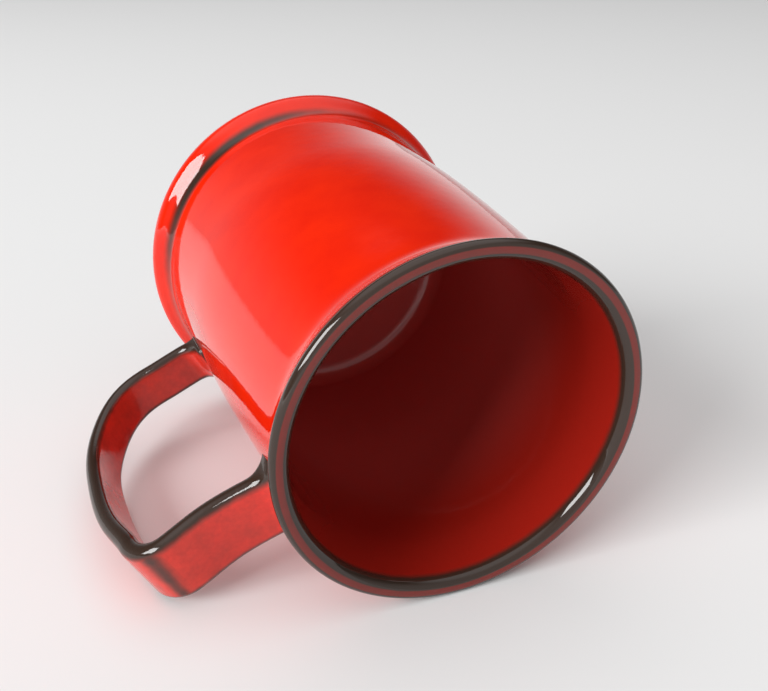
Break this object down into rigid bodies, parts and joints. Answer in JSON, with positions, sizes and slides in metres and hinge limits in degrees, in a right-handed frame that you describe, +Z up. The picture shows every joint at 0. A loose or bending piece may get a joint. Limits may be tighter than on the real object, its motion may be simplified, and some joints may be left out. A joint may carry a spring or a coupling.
{
  "type": "porcelain mug",
  "caption": "Glazed mug with a gently tapered wall, flared lip, rolled foot and a tapered strap handle, lying on its side as a drinking vessel at rest.",
  "frame": {"origin": "on the table under the middle of the lying mug's outline", "axes": "+Z up from the table, the mouth towards -Y, the handle down towards -X; the mug's own axis leans 2.49 degrees down to its mouth because the foot roll is wider than the lip. Turning the part so that the foot_ring mount faces -Z stands the mug upright"},
  "size_m": [0.1216, 0.1178, 0.0943],
  "materials": {
    "body_glaze": "high-gloss red glaze that breaks to dark brown on the lip, foot roll and groove",
    "handle_glaze": "gloss red glaze, finely mottled, dark brown on the rounded edges",
    "slip_glaze": "glossy dark brown where the glaze pools and thins at the joints"
  },
  "bodies": {
    "root": {"mug_body": "body_glaze", "handle": "handle_glaze", "upper_slip_joint": "slip_glaze", "lower_slip_joint": "slip_glaze"}
  },
  "joints": []
}
